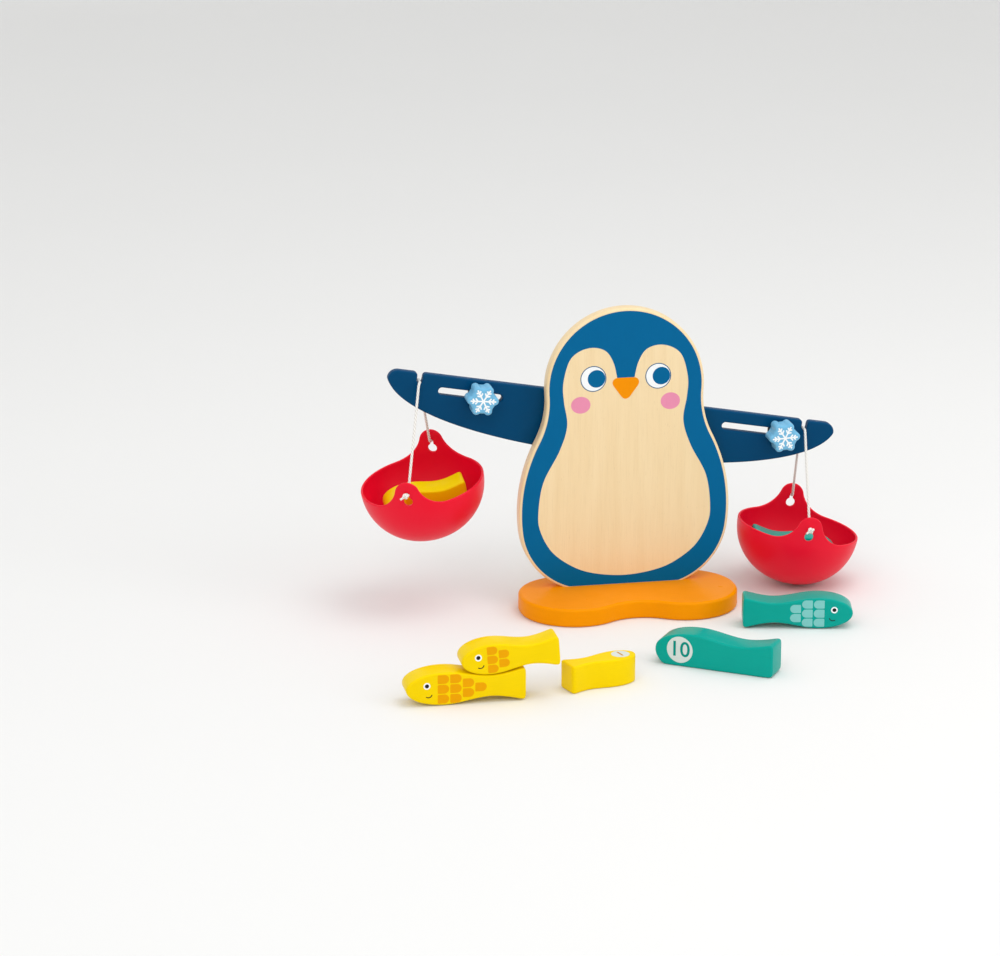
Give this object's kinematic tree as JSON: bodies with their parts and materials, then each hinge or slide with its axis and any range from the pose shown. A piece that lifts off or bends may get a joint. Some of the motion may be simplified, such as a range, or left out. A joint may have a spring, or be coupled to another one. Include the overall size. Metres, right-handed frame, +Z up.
{
  "type": "wooden balance scale toy",
  "caption": "Penguin-shaped wooden balance scale with a tilting beam, hanging buckets, sliding counterweight knobs and numbered fish weights.",
  "frame": {"origin": "on the table, under the centre of the feet plate", "axes": "+Z up, the penguin's face looks along -Y, +X to the right seen from the front"},
  "size_m": [0.4201, 0.3588, 0.2471],
  "materials": {
    "natural_wood": "clear satin lacquer on pale beech-like wood",
    "orange_paint": "gloss orange paint on wood",
    "beam_paint": "satin deep blue paint on wood",
    "ice_paint": "satin light blue paint on wood",
    "yellow_paint": "satin yellow paint on wood",
    "teal_paint": "satin teal paint on wood",
    "red_plastic": "moulded, semi-gloss",
    "white_cord": "braided cord",
    "grey_felt": "pressed felt",
    "plated_steel": "zinc plated"
  },
  "bodies": {
    "stand": {"feet_base": "orange_paint", "penguin_board": "natural_wood", "base_screws": "plated_steel", "pivot_peg": "natural_wood", "front_washer": "natural_wood", "rear_washer": "natural_wood"},
    "beam": {"balance_beam": "beam_paint"},
    "left_slider": {"left_slide_peg": "natural_wood", "left_front_felt": "grey_felt", "left_rear_felt": "grey_felt"},
    "left_knob": {"left_snowflake_knob": "ice_paint"},
    "right_slider": {"right_slide_peg": "natural_wood", "right_front_felt": "grey_felt", "right_rear_felt": "grey_felt"},
    "right_knob": {"right_snowflake_knob": "ice_paint"},
    "left_hanger": {"left_cord": "white_cord"},
    "left_bucket": {"left_bucket": "red_plastic"},
    "right_hanger": {"right_cord": "white_cord"},
    "right_bucket": {"right_bucket": "red_plastic"},
    "fish_1": {"fish_1": "yellow_paint"},
    "fish_2": {"fish_2": "teal_paint"},
    "fish_3": {"fish_3": "yellow_paint"},
    "fish_4": {"fish_4": "teal_paint"},
    "fish_5": {"fish_5": "yellow_paint"},
    "fish_6": {"fish_6": "teal_paint"},
    "fish_7": {"fish_7": "yellow_paint"},
    "fish_8": {"fish_8": "teal_paint"},
    "fish_9": {"fish_9": "yellow_paint"},
    "fish_10": {"fish_10": "teal_paint"}
  },
  "joints": [
    {"name": "beam_tilt", "type": "hinge", "parent": "stand", "child": "beam", "pos_m": [0, 0.0332, 0.197], "axis": [0, -1, 0], "range_deg": [0, 20]},
    {"name": "left_slider_travel", "type": "slide", "parent": "beam", "child": "left_slider", "axis": [0.9848, 0, -0.1736], "range_m": [-0.0308, 0.014]},
    {"name": "left_knob_turn", "type": "hinge", "parent": "left_slider", "child": "left_knob", "pos_m": [-0.11749, 0.0332, 0.17629], "axis": [0, 1, 0], "continuous": true},
    {"name": "right_slider_travel", "type": "slide", "parent": "beam", "child": "right_slider", "axis": [0.9848, 0, -0.1736], "range_m": [-0.0446, 0]},
    {"name": "right_knob_turn", "type": "hinge", "parent": "right_slider", "child": "right_knob", "pos_m": [0.13335, 0.0332, 0.13206], "axis": [0, 1, 0], "continuous": true},
    {"name": "left_cord_swing", "type": "hinge", "parent": "beam", "child": "left_hanger", "pos_m": [-0.16607, 0.0332, 0.19156], "axis": [0, 1, 0], "range_deg": [0, 20]},
    {"name": "right_cord_swing", "type": "hinge", "parent": "beam", "child": "right_hanger", "pos_m": [0.15419, 0.0332, 0.13508], "axis": [0, 1, 0], "range_deg": [0, 20]},
    {"name": "left_bucket_tip", "type": "hinge", "parent": "left_hanger", "child": "left_bucket", "pos_m": [-0.16625, 0.0332, 0.11852], "axis": [0.3609, 0.9163, 0.1736], "range_deg": [-8, 18]},
    {"name": "right_bucket_tip", "type": "hinge", "parent": "right_hanger", "child": "right_bucket", "pos_m": [0.15401, 0.0332, 0.06205], "axis": [0.1132, 0.9936, 0], "range_deg": [-18, 8]},
    {"name": "fish_1_lift", "type": "slide", "parent": "stand", "child": "fish_1", "axis": [0, 0, 1], "range_m": [0, 0.06]},
    {"name": "fish_2_lift", "type": "slide", "parent": "stand", "child": "fish_2", "axis": [0, 0, 1], "range_m": [0, 0.06]},
    {"name": "fish_6_lift", "type": "slide", "parent": "stand", "child": "fish_6", "axis": [0, 0, 1], "range_m": [0, 0.06]},
    {"name": "fish_7_lift", "type": "slide", "parent": "stand", "child": "fish_7", "axis": [0, 0, 1], "range_m": [0, 0.06]},
    {"name": "fish_8_lift", "type": "slide", "parent": "stand", "child": "fish_8", "axis": [0, 0, 1], "range_m": [0, 0.06]},
    {"name": "fish_9_lift", "type": "slide", "parent": "stand", "child": "fish_9", "axis": [0, 0, 1], "range_m": [0, 0.06]},
    {"name": "fish_10_lift", "type": "slide", "parent": "stand", "child": "fish_10", "axis": [0, 0, 1], "range_m": [0, 0.06]},
    {"name": "fish_5_lift", "type": "slide", "parent": "fish_9", "child": "fish_5", "axis": [0, 0, 1], "range_m": [0, 0.05]},
    {"name": "fish_4_lift", "type": "slide", "parent": "right_bucket", "child": "fish_4", "axis": [0.1725, -0.0197, 0.9848], "range_m": [0, 0.036]},
    {"name": "fish_3_lift", "type": "slide", "parent": "left_bucket", "child": "fish_3", "axis": [-0.1845, -0.1123, 0.9764], "range_m": [0, 0.04]}
  ],
  "couplings": [
    {"joint": "left_cord_swing", "follows": "beam_tilt", "ratio": 1},
    {"joint": "right_cord_swing", "follows": "beam_tilt", "ratio": 1}
  ]
}
